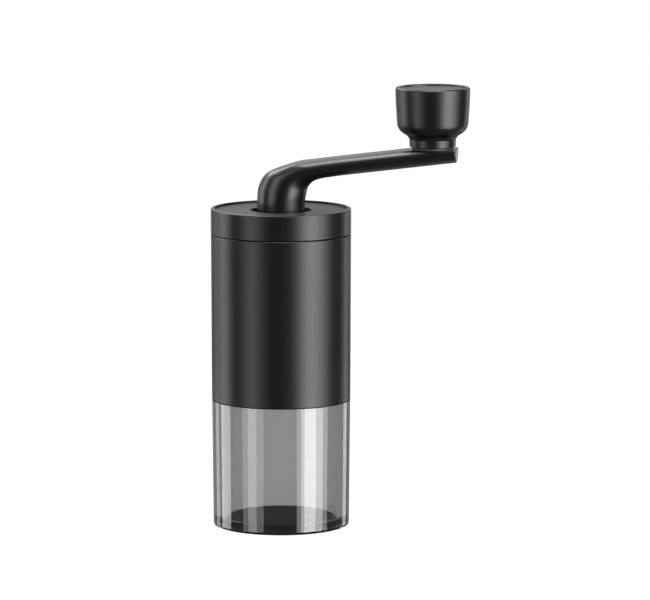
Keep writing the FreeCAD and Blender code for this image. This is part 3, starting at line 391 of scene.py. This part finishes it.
def build_arm():
    rows = [r for r in spread(ARM, 150)]
    rows = [r for r in rows if (r[0] + r[2]) / 2 < END - 1.0]
    last = rows[-1]
    slope_t, slope_b = 3.5 / 31.1, 3.6 / 30.8
    tail = []
    for x, inset in ((END - 0.55, 0.0), (END - 0.22, 0.06), (END - 0.06, 0.22), (END, 0.5)):
        z0 = last[1] + (x - last[0]) * slope_t
        z1 = last[3] + (x - last[2]) * slope_b
        tail.append(([x, z0, x, z1, last[4]], inset))
    H = 72
    bm = bmesh.new()
    rings = []
    for r in rows:
        rings.append([bm.verts.new(p * MM) for p in arm_ring(r, H)])
    for r, inset in tail:
        rings.append([bm.verts.new(p * MM) for p in arm_ring(r, H, inset)])
    n = len(rings[0])
    for a, b in zip(rings, rings[1:]):
        for i in range(n):
            j = (i + 1) % n
            bm.faces.new((a[i], a[j], b[j], b[i]))
    # the flat end, closed in rings to its centre
    prev = rings[-1]
    cen = sum((v.co for v in prev), Vector()) / n
    for f in (0.9, 0.6, 0.25):
        nxt = [bm.verts.new(Vector((END * MM, cen.y + (v.co.y - cen.y) * f, cen.z + (v.co.z - cen.z) * f)))
               for v in rings[-1]]
        for i in range(n):
            j = (i + 1) % n
            bm.faces.new((prev[i], prev[j], nxt[j], nxt[i]))
        prev = nxt
    mid = bm.verts.new(Vector((END * MM, cen.y, cen.z)))
    for i in range(n):
        bm.faces.new((prev[i], prev[(i + 1) % n], mid))
    # the hub's foot, its bore and the bore's roof
    prev = rings[0]
    steps = [(8.5, 109.35), (6.9, 109.35), (6.5, 109.75), (6.5, 121.0), (6.3, 121.5), (2.0, 121.5)]
    steps = [(8.6, 109.5), (6.8, 109.5), (6.5, 109.8), (6.5, 121.2), (6.2, 121.5), (2.0, 121.5)]
    dirs = []
    for v in prev:
        d = Vector((v.co.x, v.co.y, 0)).normalized()
        dirs.append(d)
    for r, z in steps:
        nxt = [bm.verts.new((d * r + Vector((0, 0, z))) * MM) for d in dirs]
        for i in range(n):
            j = (i + 1) % n
            bm.faces.new((prev[j], prev[i], nxt[i], nxt[j]))
        prev = nxt
    mid = bm.verts.new(Vector((0, 0, 121.5)) * MM)
    for i in range(n):
        bm.faces.new((prev[(i + 1) % n], prev[i], mid))
    bmesh.ops.recalc_face_normals(bm, faces=bm.faces)
    me = bpy.data.meshes.new("swan_neck_arm")
    bm.to_mesh(me)
    bm.free()
    me.polygons.foreach_set("use_smooth", [True] * len(me.polygons))
    me.set_sharp_from_angle(angle=math.radians(38))
    ob = bpy.data.objects.new("swan_neck_arm", me)
    bpy.context.scene.collection.objects.link(ob)
    me.materials.append(MAT["crank"])
    return ob


arm_piece = build_arm()
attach(arm_piece, "crank")
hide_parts("crank_arm")


# ------------------------------------------------------------------ light
def area(name, az, elev, dist, half, tall, level, centre=(0, 0, 85)):
    """A softbox az degrees to the camera's right of the view direction, facing the object. half
    is half its width as an angle, tall its height in mm, and level its brightness."""
    a = TURN + math.radians(az)
    c = Vector(centre)
    flat = math.cos(math.radians(elev))
    d = Vector((math.sin(a) * flat, -math.cos(a) * flat, math.sin(math.radians(elev))))
    wide = 2 * dist * math.tan(math.radians(half))
    li = bpy.data.lights.new(name, "AREA")
    li.shape = "RECTANGLE"
    li.size = wide * MM
    li.size_y = tall * MM
    li.energy = level * math.pi * wide * tall * MM * MM
    ob = bpy.data.objects.new(name, li)
    ob.location = (c + d * dist) * MM
    ob.rotation_euler = (-d).to_track_quat("-Z", "Y").to_euler()
    ob.visible_camera = False
    ob.visible_transmission = False
    bpy.context.scene.collection.objects.link(ob)
    return ob


# the key is brightest in its middle and falls off to its sides, as a lamp behind a diffuser does
area("key_right_edge", 55, 8, 900, 30, 1300, 3.2)
area("key_right_body", 54, 8, 890, 21, 1300, 4.8)
area("key_right_core", 50, 8, 880, 11, 1300, 5.5)
area("fill_left", -48, 8, 900, 20, 1300, 2.0)
area("fill_left_core", -49, 8, 890, 8, 1300, 2.6)
area("rim_left", -106, 5, 900, 13, 1300, 4.0)
area("rim_left_far", -133, 5, 900, 7, 1300, 1.4)
area("rim_right", 134, 5, 900, 7, 1300, 2.0)
area("top", 20, 78, 900, 18, 600, 20.0)
area("back_high", 180, 13, 1300, 26, 900, 0.55)
area("over_back_left", -138, 48, 900, 22, 620, 7.0)
area("back_low", 180, -0.4, 1280, 26, 420, 0.6)
# light off the table, from under the arm and the knob
under = area("table_bounce", 0, -90, 84, 74, 560, 0.3)
under.rotation_euler = (math.pi, 0, 0)

bpy.context.scene.view_settings.view_transform = "Standard"

# A white sweep that the camera sees directly and through the jar, in an otherwise dim studio,
# so that only the softboxes show in the black finishes.
world = bpy.data.worlds.new("studio")
bpy.context.scene.world = world
world.use_nodes = True
wn = world.node_tree
bg = wn.nodes["Background"]
bg.inputs["Color"].default_value = (1, 1, 1, 1)
path = wn.nodes.new("ShaderNodeLightPath")
seen = wn.nodes.new("ShaderNodeMath")
seen.operation = "MAXIMUM"
wn.links.new(path.outputs["Is Camera Ray"], seen.inputs[0])
wn.links.new(path.outputs["Is Transmission Ray"], seen.inputs[1])
level = wn.nodes.new("ShaderNodeMapRange")
level.inputs["To Min"].default_value = 0.035
level.inputs["To Max"].default_value = 1.0
# the backdrop stands behind the object only, and the rest of the studio is dark
where = wn.nodes.new("ShaderNodeTexCoord")
facing = wn.nodes.new("ShaderNodeVectorMath")
facing.operation = "DOT_PRODUCT"
facing.inputs[1].default_value = (-math.sin(TURN), math.cos(TURN), 0.0)
wn.links.new(where.outputs["Generated"], facing.inputs[0])
sheet = wn.nodes.new("ShaderNodeMapRange")
sheet.interpolation_type = "SMOOTHSTEP"
sheet.inputs["From Min"].default_value = 0.66
sheet.inputs["From Max"].default_value = 0.86
sheet.inputs["To Min"].default_value = 0.04
wn.links.new(facing.outputs["Value"], sheet.inputs["Value"])
shown = wn.nodes.new("ShaderNodeMath")
shown.operation = "MULTIPLY"
wn.links.new(path.outputs["Is Transmission Ray"], shown.inputs[0])
wn.links.new(sheet.outputs[0], shown.inputs[1])
wn.links.new(path.outputs["Is Camera Ray"], seen.inputs[0])
wn.links.new(shown.outputs[0], seen.inputs[1])
wn.links.new(seen.outputs[0], level.inputs["Value"])
wn.links.new(level.outputs[0], bg.inputs["Strength"])

bm = bmesh.new()
bmesh.ops.create_grid(bm, x_segments=2, y_segments=2, size=6.0)
me = bpy.data.meshes.new("floor")
bm.to_mesh(me)
bm.free()
floor = bpy.data.objects.new("floor", me)
bpy.context.scene.collection.objects.link(floor)
floor.location = (0, 0, -0.0001)
fm, fnt, fbs = new_mat("pale_floor")
fbs.inputs["Base Color"].default_value = (0.02, 0.02, 0.02, 1)
fbs.inputs["Roughness"].default_value = 0.9
fbs.inputs["Specular IOR Level"].default_value = 0.0
fbs.inputs["Emission Color"].default_value = (1, 1, 1, 1)
fco = fnt.nodes.new("ShaderNodeTexCoord")
fturn = fnt.nodes.new("ShaderNodeMapping")
fturn.inputs["Rotation"].default_value = (0, 0, -TURN)
fnt.links.new(fco.outputs["Object"], fturn.inputs["Vector"])
fcut = fnt.nodes.new("ShaderNodeSeparateXYZ")
fnt.links.new(fturn.outputs[0], fcut.inputs[0])
fside = node(fnt, "ShaderNodeMath", operation="ABSOLUTE")
fnt.links.new(fcut.outputs["X"], fside.inputs[0])
fang = node(fnt, "ShaderNodeMath", operation="ARCTAN2")
fnt.links.new(fside.outputs[0], fang.inputs[0])
fnt.links.new(fcut.outputs["Y"], fang.inputs[1])
fband = node(fnt, "ShaderNodeMapRange")
fband.interpolation_type = "SMOOTHSTEP"
fband.inputs["From Min"].default_value = math.radians(46)
fband.inputs["From Max"].default_value = math.radians(32)
fband.inputs["To Min"].default_value = 0.04
fnt.links.new(fang.outputs[0], fband.inputs["Value"])
flen = node(fnt, "ShaderNodeVectorMath", operation="LENGTH")
fnt.links.new(fturn.outputs[0], flen.inputs[0])
fnear = node(fnt, "ShaderNodeMapRange")
fnear.interpolation_type = "SMOOTHSTEP"
fnear.inputs["From Min"].default_value = 0.46
fnear.inputs["From Max"].default_value = 0.33
fnt.links.new(flen.outputs["Value"], fnear.inputs["Value"])
fmax = node(fnt, "ShaderNodeMath", operation="MAXIMUM")
fnt.links.new(fband.outputs[0], fmax.inputs[0])
fnt.links.new(fnear.outputs[0], fmax.inputs[1])
fnt.links.new(fmax.outputs[0], fbs.inputs["Emission Strength"])
me.materials.append(fm)
floor.visible_glossy = False
floor.visible_diffuse = False
